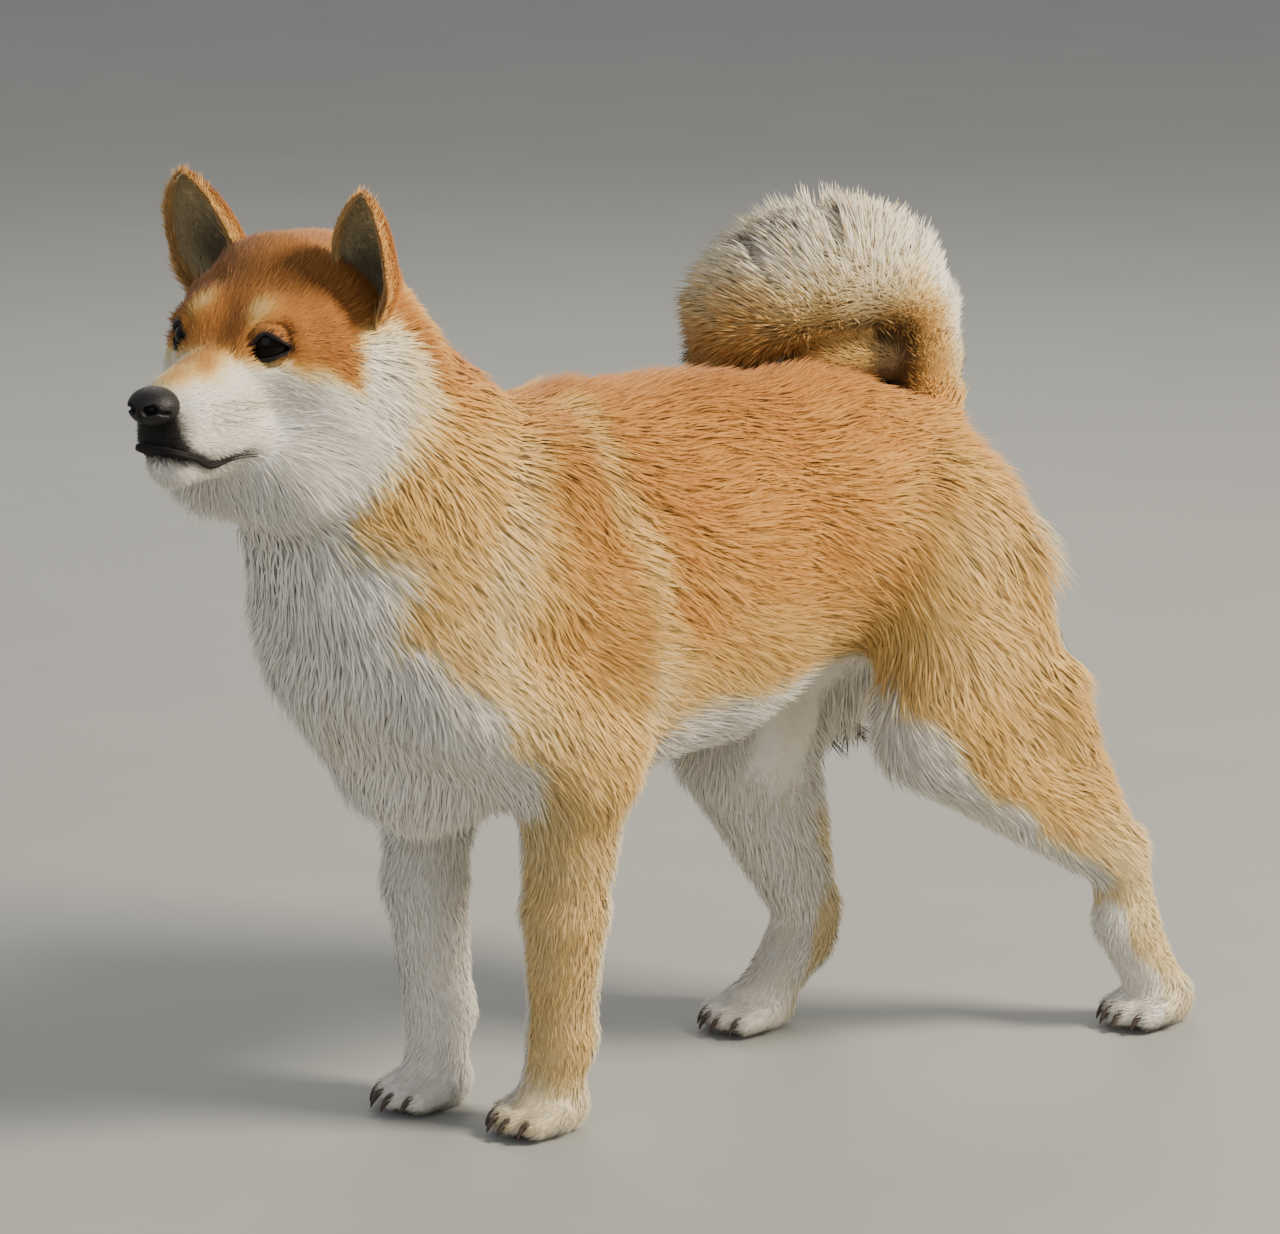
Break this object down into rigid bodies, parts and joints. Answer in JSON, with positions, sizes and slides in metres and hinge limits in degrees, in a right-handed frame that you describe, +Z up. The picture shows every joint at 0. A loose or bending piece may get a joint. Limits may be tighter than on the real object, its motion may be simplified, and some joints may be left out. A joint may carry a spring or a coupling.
{
  "type": "shiba inu dog figure",
  "caption": "Life-size shiba inu standing with one hind leg stretched back, head turned, pricked ears and a bushy tail curled over its back.",
  "frame": {"origin": "middle of the box's footprint, on the floor under the paws", "axes": "+X from the nose towards the rump, the box's longest side; +Y towards the dog's right side; +Z up"},
  "size_m": [0.6782, 0.1956, 0.5268],
  "materials": {
    "red_coat": "dense straight fur, matte",
    "pale_coat": "dense straight fur, matte",
    "cream_coat": "dense straight fur, matte",
    "eye": "wet and glossy, dark brown",
    "nose_leather": "bare, moist, finely pebbled black skin",
    "claw_horn": "dark horn, satin"
  },
  "bodies": {
    "root": {"torso": "red_coat", "head": "red_coat", "ear_left": "red_coat", "ear_right": "red_coat", "tail_curl": "red_coat", "neck": "pale_coat", "foreleg_left": "pale_coat", "foreleg_right": "pale_coat", "hindleg_left": "pale_coat", "hindleg_right": "pale_coat", "tail_root": "cream_coat", "tail_tip": "cream_coat", "paw_fore_left": "cream_coat", "paw_fore_right": "cream_coat", "paw_hind_left": "cream_coat", "paw_hind_right": "cream_coat", "eye_left": "eye", "eye_right": "eye", "nose": "nose_leather", "claw_fore_left_1": "claw_horn", "claw_fore_left_2": "claw_horn", "claw_fore_left_3": "claw_horn", "claw_fore_left_4": "claw_horn", "claw_fore_right_1": "claw_horn", "claw_fore_right_2": "claw_horn", "claw_fore_right_3": "claw_horn", "claw_fore_right_4": "claw_horn", "claw_hind_left_1": "claw_horn", "claw_hind_left_2": "claw_horn", "claw_hind_left_3": "claw_horn", "claw_hind_left_4": "claw_horn", "claw_hind_right_1": "claw_horn", "claw_hind_right_2": "claw_horn", "claw_hind_right_3": "claw_horn", "claw_hind_right_4": "claw_horn"}
  },
  "joints": []
}
